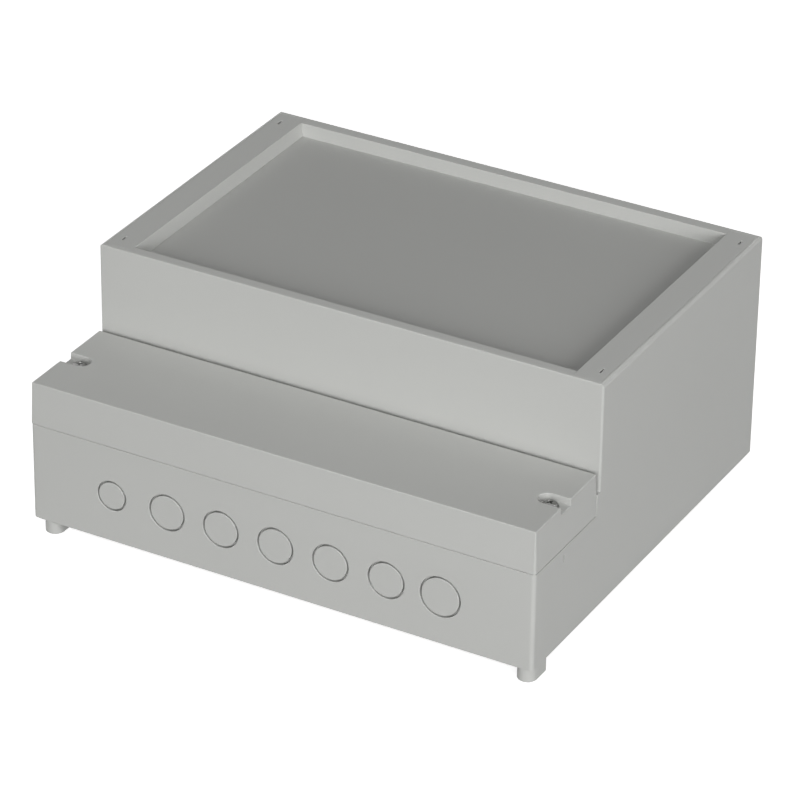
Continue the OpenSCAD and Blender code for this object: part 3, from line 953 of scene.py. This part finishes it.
@dataclass
class CoverScrews:
    """The two captive screws of the terminal cover and their nylon washers. Lengths in metres."""

    turns: dict[str, float] = field(default_factory=lambda: {"left": 20.0, "right": 52.0})
    neck_d: float = 3.2 * MM
    neck_len: float = 12.0 * MM
    head_h: float = 2.8 * MM
    thread_d: float = 3.9 * MM
    roughness: float = 0.15
    washer_ease: float = 0.2 * MM

    def build(self, nylon: bpy.types.Material) -> None:
        """Models and dresses both screws and both washers.

        Args:
            nylon: Material of the washers.
        """
        for side, body in (("left", Body.LEFT_SCREW), ("right", Body.RIGHT_SCREW)):
            self.screw(side, body)
            self.washer(side, body, nylon)

    def screw(self, side: str, body: Body) -> None:
        """Models one screw.

        Args:
            side: left or right.
            body: Body that it rides on.
        """
        node = f"{side}_cover_screw"
        low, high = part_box(node)
        middle = (low + high) / 2
        screw = CrossScrew(head_d=high.x - low.x, head_h=self.head_h, neck_d=self.neck_d,
                           length=high.z - low.z - self.head_h, neck_len=self.neck_len,
                           thread_d=self.thread_d)
        piece = screw.build(f"cover_screw_{side}", self.turns[side])
        MeshShop.set_down(piece, Vector((middle.x, middle.y, high.z - self.head_h)))
        finish = PlatedMetal(f"dark_zinc_{side}", ZINC, self.roughness, centre=(middle.x, middle.y))
        dress(piece, finish.build())
        enlist(piece, body, Slot.SCREW, node)

    def washer(self, side: str, body: Body, nylon: bpy.types.Material) -> None:
        """Models one washer with eased edges.

        Args:
            side: left or right.
            body: Body that it rides on.
            nylon: Its material.
        """
        node = f"{side}_screw_retainer"
        low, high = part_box(node)
        outer, inner = (high.x - low.x) / 2, self.neck_d / 2
        tall, ease = high.z - low.z, self.washer_ease
        profile = [(inner, ease), (inner + ease, 0.0), (outer - ease, 0.0), (outer, ease),
                   (outer, tall - ease), (outer - ease, tall), (inner + ease, tall), (inner, tall - ease)]
        piece = MeshShop.turned(f"screw_washer_{side}", profile, Closing.RING)
        MeshShop.set_down(piece, Vector(((low.x + high.x) / 2, (low.y + high.y) / 2, low.z)))
        dress(piece, nylon)
        enlist(piece, body, Slot.NYLON, node)


@dataclass
class HousingScrews:
    """The four pan-head screws under the side strips. Lengths in metres."""

    head_d: float = 7.6 * MM
    head_h: float = 2.6 * MM
    neck_d: float = 3.4 * MM
    neck_len: float = 3.0 * MM
    thread_d: float = 3.9 * MM
    roughness: float = 0.22
    turns: tuple[float, ...] = (15.0, 64.0, 33.0, 80.0)

    def build(self) -> None:
        """Models one screw, copies it to its four places and dresses the set."""
        low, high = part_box("housing_screws")
        inset = self.head_d / 2
        screw = CrossScrew(head_d=self.head_d, head_h=self.head_h, length=high.z - low.z - self.head_h,
                           neck_d=self.neck_d, neck_len=self.neck_len, thread_d=self.thread_d)
        first = screw.build("housing_screw")
        seat = high.z - self.head_h
        places = [Vector((x, y, seat)) for x in (low.x + inset, high.x - inset)
                  for y in (low.y + inset, high.y - inset)]
        copies = [first] + [MeshShop.copied(first, f"housing_screw_{n}") for n in range(1, len(places))]
        for copy, place, turn in zip(copies, places, self.turns):
            copy.rotation_euler = (0.0, 0.0, math.radians(turn))
            MeshShop.set_down(copy, place)
        piece = MeshShop.joined(copies, "housing_screw_set")
        dress(piece, PlatedMetal("dark_zinc_set", ZINC, self.roughness).build())
        enlist(piece, Body.BASE, Slot.SCREW, "housing_screws")


@dataclass
class ThreadedInserts:
    """The knurled brass inserts of the cover screws and the rear plate's columns. Lengths in metres."""

    bore_r: float = 2.06 * MM
    pitch: float = 0.7 * MM
    tooth: float = 0.28 * MM
    knurl: float = 0.14 * MM
    knurl_share: float = 0.95
    ease: float = 0.2 * MM
    sides: int = 48
    skin_share: float = 0.99
    lean_most: float = 0.1
    row_digits: int = 5

    def build(self, brass: bpy.types.Material) -> None:
        """Models and dresses the pair under the cover and the four in the columns.

        Args:
            brass: Their material.
        """
        low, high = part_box("cover_inserts")
        outer = (high.y - low.y) / 2
        self.group("cover_inserts", "cover_insert_pair", outer, brass)
        self.group("housing_inserts", "housing_insert_set", outer, brass)

    def group(self, node: str, name: str, outer: float, brass: bpy.types.Material) -> None:
        """Models one insert and copies it to the corners of its node's box.

        Args:
            node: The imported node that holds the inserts.
            name: Name of the joined piece.
            outer: Outer radius of an insert.
            brass: Their material.
        """
        low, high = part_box(node)
        columns = (low.x + outer, high.x - outer)
        rows = sorted({round(y, self.row_digits) for y in (low.y + outer, high.y - outer)})
        places = [Vector((x, y, low.z)) for x in columns for y in rows]
        first = self.insert(name, high.z - low.z, outer - self.knurl)
        copies = [first] + [MeshShop.copied(first, f"{name}_{n}") for n in range(1, len(places))]
        for copy, place in zip(copies, places):
            MeshShop.set_down(copy, place)
        piece = MeshShop.joined(copies, name)
        dress(piece, brass)
        enlist(piece, Body.BASE, Slot.INSERT, node)

    def insert(self, name: str, tall: float, skin: float) -> bpy.types.Object:
        """Turns one insert with thread rings in its bore and raises its knurls.

        Args:
            name: Name of the piece.
            tall: Its height.
            skin: Radius of its outside under the knurls.

        Returns:
            The insert, standing on the origin.
        """
        ease = self.ease
        profile = [(skin, ease), (skin, tall - ease), (skin - ease, tall), (self.bore_r + ease, tall)]
        for n in range(int((tall - 2 * ease) / self.pitch)):
            top = tall - ease - n * self.pitch
            profile += [(self.bore_r, top), (self.bore_r + self.tooth, top - self.pitch / 2)]
        profile += [(self.bore_r + ease, 0.0), (skin - ease, 0.0)]
        piece = MeshShop.turned(name, profile, Closing.RING, self.sides)
        MeshShop.hold(piece)
        bpy.ops.object.mode_set(mode="EDIT")
        MeshShop.pick_faces(piece, lambda face: self.is_knurl(face, skin))
        rise = self.knurl * self.knurl_share
        bpy.ops.mesh.extrude_faces_move(TRANSFORM_OT_shrink_fatten={"value": rise})
        bpy.ops.object.mode_set(mode="OBJECT")
        return piece

    def is_knurl(self, face: bpy.types.MeshPolygon, skin: float) -> bool:
        """Says whether a face is one of every second one round the outside.

        Args:
            face: A face of the insert.
            skin: Radius of the outside.

        Returns:
            True for a knurl's face.
        """
        reach = math.hypot(face.center.x, face.center.y)
        if reach < skin * self.skin_share or abs(face.normal.z) > self.lean_most:
            return False
        turn = math.atan2(face.center.y, face.center.x) / math.tau
        return round(turn * self.sides - 0.5) % 2 == 0


@dataclass
class CoverSeal:
    """The rubber cord on the sealing shelf, with round corners and a round back. Lengths in metres."""

    width: float = 2.4 * MM
    corner_r: float = 2.6 * MM
    back_r: float = 0.8 * MM
    arc_steps: int = 5
    smooth_deg: float = 60.0

    def build(self, rubber: bpy.types.Material) -> None:
        """Models and dresses the cord.

        Args:
            rubber: Its material.
        """
        low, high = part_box("cover_seal")
        tall = high.z - low.z
        MeshShop.clear()
        bpy.ops.mesh.primitive_plane_add(size=1.0, location=(0, 0, 0))
        cord = bpy.context.object
        cord.name = cord.data.name = "cover_seal_cord"
        cord.scale = (high.x - low.x, high.y - low.y, 1.0)
        bpy.ops.object.transform_apply(location=True, rotation=True, scale=True)
        bpy.ops.object.mode_set(mode="EDIT")
        bpy.ops.mesh.select_all(action="SELECT")
        bpy.ops.mesh.bevel(offset=self.corner_r, segments=self.arc_steps, affect="VERTICES")
        bpy.ops.mesh.select_all(action="SELECT")
        bpy.ops.mesh.inset(thickness=self.width, depth=0.0)
        bpy.ops.mesh.delete(type="FACE")
        bpy.ops.mesh.select_all(action="SELECT")
        bpy.ops.mesh.extrude_region_move(TRANSFORM_OT_translate={"value": (0.0, 0.0, tall)})
        MeshShop.pick_edges(cord, lambda a, b: min(a.z, b.z) > tall / 2 and self.along(cord, a, b))
        bpy.ops.mesh.bevel(offset=self.back_r, segments=self.arc_steps, affect="EDGES", clamp_overlap=True)
        bpy.ops.mesh.select_all(action="SELECT")
        bpy.ops.mesh.normals_make_consistent(inside=False)
        bpy.ops.object.mode_set(mode="OBJECT")
        place = Vector(((low.x + high.x) / 2, (low.y + high.y) / 2, low.z))
        MeshShop.set_down(cord, place, self.smooth_deg)
        dress(cord, rubber)
        enlist(cord, Body.BASE, Slot.SEAL, "cover_seal")

    def along(self, cord: bpy.types.Object, a: Vector, b: Vector) -> bool:
        """Says whether an edge of the cord's back runs along it and not across it.

        Args:
            cord: The cord.
            a: One end of the edge.
            b: Its other end.

        Returns:
            True if both ends are on the same rim.
        """
        half = max(abs(point.co.x) for point in cord.data.vertices)
        deep = max(abs(point.co.y) for point in cord.data.vertices)
        rim = self.width / 2
        outside = [abs(p.x) > half - rim or abs(p.y) > deep - rim for p in (a, b)]
        return outside[0] == outside[1]


@dataclass(frozen=True)
class Moulding:
    """A moulded piece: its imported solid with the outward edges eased. Lengths in metres."""

    node: str
    name: str
    body: Body
    slot: Slot
    ease: float
    crisp: tuple[float, float] = (0.0, 0.0)
    slack_widths: float = 1.5
    smooth_deg: float = 30.0

    def build(self, plastic: bpy.types.Material) -> bpy.types.Object | None:
        """Models and dresses the piece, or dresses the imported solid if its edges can't be eased cleanly.

        Args:
            plastic: Its material.

        Returns:
            The new piece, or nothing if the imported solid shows.
        """
        solid = frame["nodes"][self.node]
        piece = MeshShop.merged_copy(solid, self.name)
        MeshShop.ease(piece, self.ease, self.crisp)
        if not MeshShop.hugs(piece, solid, self.ease * self.slack_widths):
            bpy.data.objects.remove(piece)
            dress(solid, plastic)
            LOG.warning("%s keeps its sharp edges", self.node)
            return None
        MeshShop.set_down(piece, Vector(), self.smooth_deg)
        dress(piece, plastic)
        enlist(piece, self.body, self.slot, self.node)
        return piece


@dataclass
class Shell:
    """The housing with its rear plate and the seal between them. Lengths in metres."""

    housing: Moulding = Moulding("housing", "housing_moulding", Body.BASE, Slot.SHELL, 0.15 * MM, SEAM)
    plate: Moulding = Moulding("rear_plate", "rear_plate_moulding", Body.BASE, Slot.SHELL, 0.2 * MM)
    field_mount: str = "keypad_field"
    field_slack: float = 0.1 * MM
    field_level: float = 0.99

    def build(self, plastic: bpy.types.Material, shaded_field_plastic: bpy.types.Material,
              rubber: bpy.types.Material) -> None:
        """Models both mouldings and dresses the seal.

        Args:
            plastic: Material of the mouldings.
            shaded_field_plastic: Material of the sunk keypad field, with a finer grain and a darker colour
                of painted shade.
            rubber: Material of the seal.
        """
        piece = self.housing.build(plastic)
        if piece:
            self.dress_field(piece, shaded_field_plastic)
        self.plate.build(plastic)
        dress(frame["nodes"]["rear_seal"], rubber)
        LOG.info("rear_seal is dressed in %s", rubber.name)

    def dress_field(self, piece: bpy.types.Object, shaded_field_plastic: bpy.types.Material) -> None:
        """Gives the floor of the keypad recess its own finer grain and a darker colour that paints in its
        shade.

        Args:
            piece: The housing.
            shaded_field_plastic: Material of the field, darker with painted shade.
        """
        mounts = {mount["name"]: mount for mount in frame["record"]["mounts"]}
        level = mounts[self.field_mount]["pos_m"][2]
        piece.data.materials.append(shaded_field_plastic)
        for face in piece.data.polygons:
            if face.normal.z > self.field_level and abs(face.center.z - level) < self.field_slack:
                face.material_index = 1


@dataclass
class LooseMouldings:
    """The mouldings that come off: the terminal cover and the two side strips. Lengths in metres."""

    cover: Moulding = Moulding("terminal_cover", "cover_moulding", Body.COVER, Slot.SHELL, 0.15 * MM, SEAM)
    left: Moulding = Moulding("left_strip", "left_strip_moulding", Body.LEFT_BAND, Slot.STRIP, 0.08 * MM)
    right: Moulding = Moulding("right_strip", "right_strip_moulding", Body.RIGHT_BAND, Slot.STRIP,
                               0.08 * MM)

    def build(self, plastic: bpy.types.Material, strip: bpy.types.Material) -> None:
        """Models and dresses the three pieces.

        Args:
            plastic: Material of the cover.
            strip: Material of the strips.
        """
        self.cover.build(plastic)
        self.left.build(strip)
        self.right.build(strip)


@dataclass(frozen=True)
class SoftBox:
    """A soft lamp that faces the part. Angles in degrees, lengths in metres, power in watts.

    The azimuth is 0 in front of the cable-entry wall and 90 to its right. The rise is the angle over level.
    """

    name: str
    azimuth: float
    rise: float
    power: float
    away: float = 4.0
    size: tuple[float, float] = (3.3, 1.8)

    def hang(self, target: Vector) -> None:
        """Hangs the lamp so that it faces a target.

        Args:
            target: The point that it lights.
        """
        data = bpy.data.lights.new(self.name, "AREA")
        data.shape = "RECTANGLE"
        data.size, data.size_y = self.size
        data.energy = self.power
        lamp = bpy.data.objects.new(self.name, data)
        bpy.context.scene.collection.objects.link(lamp)
        a, e = math.radians(self.azimuth), math.radians(self.rise)
        out = Vector((math.sin(a) * math.cos(e), -math.cos(a) * math.cos(e), math.sin(e)))
        lamp.location = target + out * self.away
        lamp.rotation_mode = "QUATERNION"
        lamp.rotation_quaternion = (-out).to_track_quat("-Z", "Y")


@dataclass
class Studio:
    """Camera, soft boxes, pale floor and white surroundings. Lengths in metres, angles in degrees."""

    target: Vector = field(default_factory=lambda: Vector((0.01027, -0.01734, 0.06219)))
    distance: float = 2.0236
    yaw: float = 28.860
    pitch: float = 29.631
    roll: float = 0.824
    lens_mm: float = 201.17
    sensor_mm: float = 36.0
    clip: tuple[float, float] = (0.05, 50.0)
    sky: float = 0.02
    floor_size: float = 14.0
    floor_drop: float = 0.2 * MM
    floor_seen: float = 0.80
    floor_bounce: float = 0.20
    floor_glow: float = 0.78
    lamps: tuple[SoftBox, ...] = (
        SoftBox("front_box", azimuth=20.0, rise=15.0, power=97.0),
        SoftBox("right_box", azimuth=60.0, rise=20.0, power=86.0),
        SoftBox("high_box", azimuth=0.0, rise=70.0, power=46.0),
        SoftBox("glint_lamp", azimuth=160.0, rise=55.0, power=2.0, size=(0.2, 0.2)),
        SoftBox("back_fill", azimuth=190.0, rise=1.4, power=72.0, size=(3.0, 0.16)),
        SoftBox("left_fill", azimuth=-100.0, rise=0.9, power=72.0, size=(3.0, 0.1)),
    )

    def camera(self) -> None:
        """Sets the camera at the photograph's viewpoint."""
        data = bpy.data.cameras.new("view")
        data.lens = self.lens_mm
        data.sensor_width = self.sensor_mm
        data.clip_start, data.clip_end = self.clip
        eye = bpy.data.objects.new("view", data)
        bpy.context.scene.collection.objects.link(eye)
        yaw, pitch, roll = (math.radians(angle) for angle in (self.yaw, self.pitch, self.roll))
        level = math.cos(pitch)
        ahead = Vector((-math.sin(yaw) * level, math.cos(yaw) * level, -math.sin(pitch)))
        right = Vector((math.cos(yaw), math.sin(yaw), 0.0))
        up = right.cross(ahead)
        turned_right = right * math.cos(roll) + up * math.sin(roll)
        turned_up = up * math.cos(roll) - right * math.sin(roll)
        place = self.target - ahead * self.distance
        turn = Matrix((turned_right, turned_up, -ahead)).transposed()
        eye.matrix_world = Matrix.Translation(place) @ turn.to_4x4()
        bpy.context.scene.camera = eye

    def seen(self, graph: Graph) -> bpy.types.NodeSocket:
        """Marks what the camera, a reflection or a clear piece shows.

        Args:
            graph: Tree of the floor's material or the world.

        Returns:
            Socket of a value that is 1 there and 0 for other light.
        """
        path = graph.add("LightPath")
        mirrored = graph.math("MAXIMUM", path.outputs["Is Glossy Ray"], path.outputs["Is Transmission Ray"])
        return graph.math("MAXIMUM", path.outputs["Is Camera Ray"], mirrored)

    def surroundings(self) -> None:
        """Makes the surroundings white to look at and plain as a light."""
        world = bpy.data.worlds.new("studio")
        world.use_nodes = True
        bpy.context.scene.world = world
        graph = Graph(world.node_tree)
        level = graph.add("MapRange", {"Value": self.seen(graph), "To Min": self.sky, "To Max": 1.0})
        back = world.node_tree.nodes["Background"]
        back.inputs["Color"].default_value = WHITE
        graph.link(level.outputs["Result"], back.inputs["Strength"])

    def floor(self) -> None:
        """Lays the pale floor, which keeps the part's shadow and is white elsewhere."""
        MeshShop.clear()
        bpy.ops.mesh.primitive_plane_add(size=self.floor_size, location=(0.0, 0.0, -self.floor_drop))
        plane = bpy.context.object
        plane.name = "floor"
        made = bpy.data.materials.new("pale_floor")
        made.use_nodes = True
        graph = Graph(made.node_tree)
        made.node_tree.nodes.remove(made.node_tree.nodes["Principled BSDF"])
        seen = self.seen(graph)
        tones = {"To Min": self.floor_bounce, "To Max": self.floor_seen}
        grey = graph.add("MapRange", {"Value": seen, **tones})
        matt = graph.add("BsdfDiffuse", {"Color": grey.outputs["Result"]})
        lift = graph.math("MULTIPLY", seen, self.floor_glow)
        glow = graph.add("Emission", {"Color": WHITE, "Strength": lift})
        both = graph.add("AddShader", {0: matt.outputs[0], 1: glow.outputs[0]})
        graph.link(both.outputs[0], made.node_tree.nodes["Material Output"].inputs["Surface"])
        dress(plane, made)

    def build(self) -> None:
        """Sets up the whole studio."""
        self.camera()
        self.surroundings()
        self.floor()
        for lamp in self.lamps:
            lamp.hang(self.target)
        bpy.context.scene.view_settings.view_transform = "Standard"


def main() -> None:
    """Builds the sub-assemblies in order."""
    logging.basicConfig(level=logging.INFO, format="%(name)s: %(message)s")
    Studio().build()
    brass = PlatedMetal("turned_brass", BRASS, roughness=0.34).build()
    rubber = FoamedRubber("seal_rubber", BLACK_RUBBER, roughness=0.78).build()
    nylon = Nylon("washer_nylon", RAW_NYLON, roughness=0.42).build()
    plastic = MouldedPlastic("shell_plastic", GREY, roughness=0.52).build()
    strip = MouldedPlastic("strip_plastic", GREY, roughness=0.54).build()
    # The keypad field gets its own finer grain and roughness, and a darker colour that paints in the recess
    # floor's shade
    shaded_field_plastic = MouldedPlastic("shaded_field_plastic", SHADED_FIELD_GREY, roughness=0.60, grain_scale=4200.0).build()
    Shell().build(plastic, shaded_field_plastic, rubber)
    LooseMouldings().build(plastic, strip)
    CoverScrews().build(nylon)
    HousingScrews().build()
    ThreadedInserts().build(brass)
    CoverSeal().build(rubber)
    MeshShop.clear()


if __name__ == "__main__":
    main()
